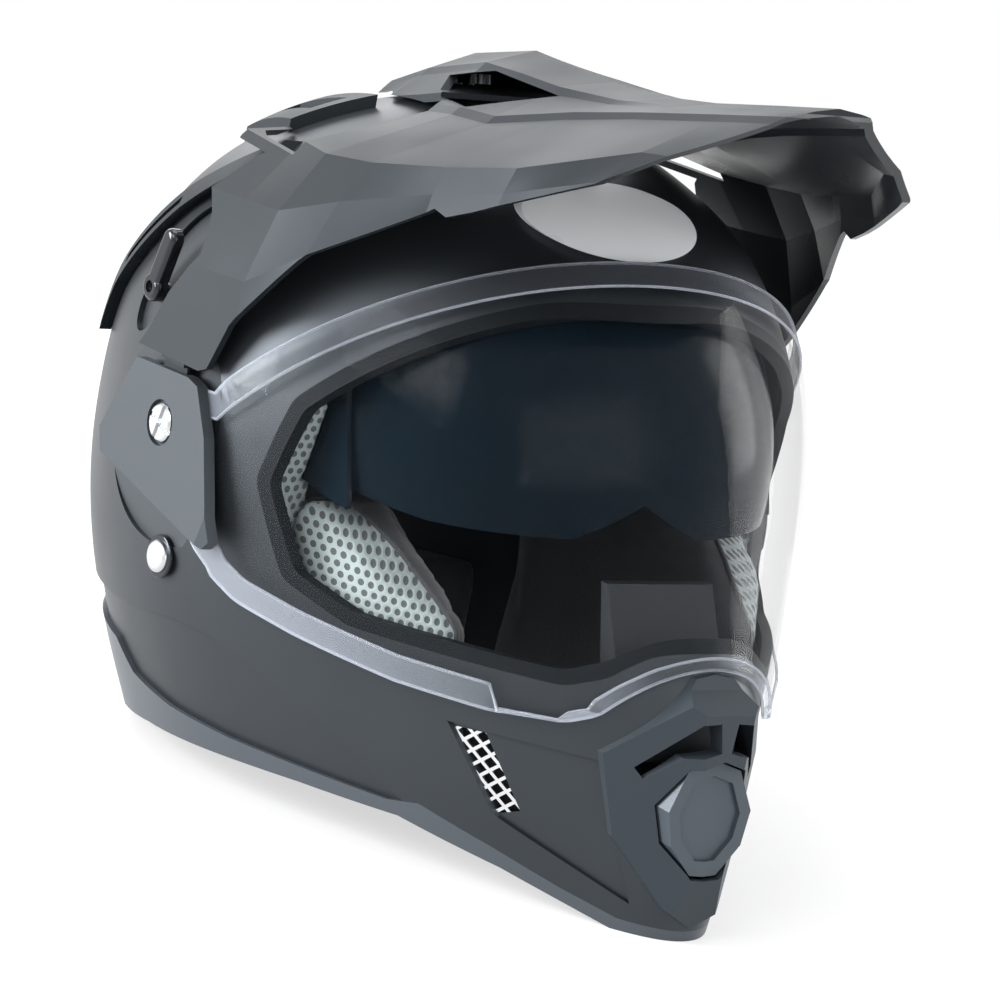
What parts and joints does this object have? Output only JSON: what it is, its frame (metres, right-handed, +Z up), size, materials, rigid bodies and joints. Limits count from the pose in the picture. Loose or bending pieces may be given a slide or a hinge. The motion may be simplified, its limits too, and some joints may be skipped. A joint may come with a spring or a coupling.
{
  "type": "dual sport helmet",
  "caption": "Full-face adventure riding helmet with a tilting peak, clear face shield, drop-down sun visor, chin vent and ratchet chin strap.",
  "frame": {"origin": "under the middle of the helmet, on the surface that its rim stands on", "axes": "+Z up, face towards -Y, wearer's left towards +X"},
  "size_m": [0.2632, 0.3465, 0.306],
  "materials": {
    "shell_black": "matt lacquer",
    "plate_silver": "satin silver",
    "trim_black": "satin",
    "gasket_black": "soft matt",
    "clear_shield": "clear polycarbonate",
    "smoke_visor": "dark smoke polycarbonate",
    "peak_black": "fine grained satin",
    "hardware_black": "gloss",
    "screw_steel": "brushed",
    "mesh_steel": "bright",
    "foam": "moulded bead foam",
    "pad_cloth": "brushed cloth",
    "webbing": "woven",
    "guard_grey": "moulded"
  },
  "bodies": {
    "shell": {"outer_shell": "shell_black", "base_trim": "trim_black", "eye_port_gasket": "gasket_black", "pivot_disc_left": "hardware_black", "pivot_disc_right": "hardware_black", "side_cover_left": "peak_black", "side_cover_right": "peak_black", "cover_screws": "screw_steel", "cover_nuts": "screw_steel", "strap_rivets": "screw_steel", "rivet_washers": "hardware_black", "screw_insert": "screw_steel", "brow_plate": "plate_silver", "rear_vent_left": "peak_black", "rear_vent_right": "peak_black", "crown_vent_left": "peak_black", "crown_vent_right": "peak_black", "chin_vent_surround": "trim_black", "chin_mesh_left": "mesh_steel", "chin_mesh_right": "mesh_steel", "sun_visor_pivot_left": "hardware_black", "sun_visor_pivot_right": "hardware_black", "lever_pin": "screw_steel", "crown_foam": "foam", "chin_foam": "foam", "crown_pad": "pad_cloth", "cheek_pad_left": "pad_cloth", "cheek_pad_right": "pad_cloth", "neck_roll": "pad_cloth", "breath_guard": "guard_grey", "chin_strap_left": "webbing", "chin_strap_right": "webbing", "strap_pad_left": "pad_cloth", "strap_pad_right": "pad_cloth", "strap_buckle": "screw_steel", "strap_tongue": "hardware_black"},
    "face_shield": {"face_shield": "clear_shield"},
    "peak": {"peak": "peak_black"},
    "thumb_screw": {"thumb_screw": "hardware_black"},
    "sun_visor": {"sun_visor": "smoke_visor"},
    "sun_visor_lever": {"sun_visor_lever": "hardware_black"},
    "chin_vent_button": {"chin_vent_button": "peak_black"},
    "buckle_lever": {"buckle_lever": "hardware_black"}
  },
  "joints": [
    {"name": "shield_hinge", "type": "hinge", "parent": "shell", "child": "face_shield", "pos_m": [0, 0.027, 0.13401], "axis": [-1, 0, 0], "range_deg": [0, 34]},
    {"name": "peak_tilt", "type": "hinge", "parent": "shell", "child": "peak", "pos_m": [0, 0.027, 0.13401], "axis": [-1, 0, 0], "range_deg": [0, 5]},
    {"name": "thumb_screw_turn", "type": "hinge", "parent": "shell", "child": "thumb_screw", "pos_m": [0, 0.05514, 0.26093], "axis": [0, 0.2164, 0.9763], "continuous": true},
    {"name": "sun_visor_hinge", "type": "hinge", "parent": "shell", "child": "sun_visor", "pos_m": [0, 0.00249, 0.138], "axis": [-1, 0, 0], "range_deg": [0, 44]},
    {"name": "lever_hinge", "type": "hinge", "parent": "shell", "child": "sun_visor_lever", "pos_m": [-0.1192, 0.06041, 0.17711], "axis": [-1, 0, 0], "range_deg": [0, 40]},
    {"name": "vent_button_slide", "type": "slide", "parent": "shell", "child": "chin_vent_button", "axis": [0, 1, 0], "range_m": [0, 0.003]},
    {"name": "buckle_hinge", "type": "hinge", "parent": "shell", "child": "buckle_lever", "pos_m": [-0.01, 0.02063, 0.0189], "axis": [0, -1, 0], "range_deg": [0, 35], "stiffness_Nm_per_rad": 0.05, "springref_deg": -11.46}
  ],
  "couplings": [
    {"joint": "lever_hinge", "follows": "sun_visor_hinge", "ratio": 0.909}
  ]
}
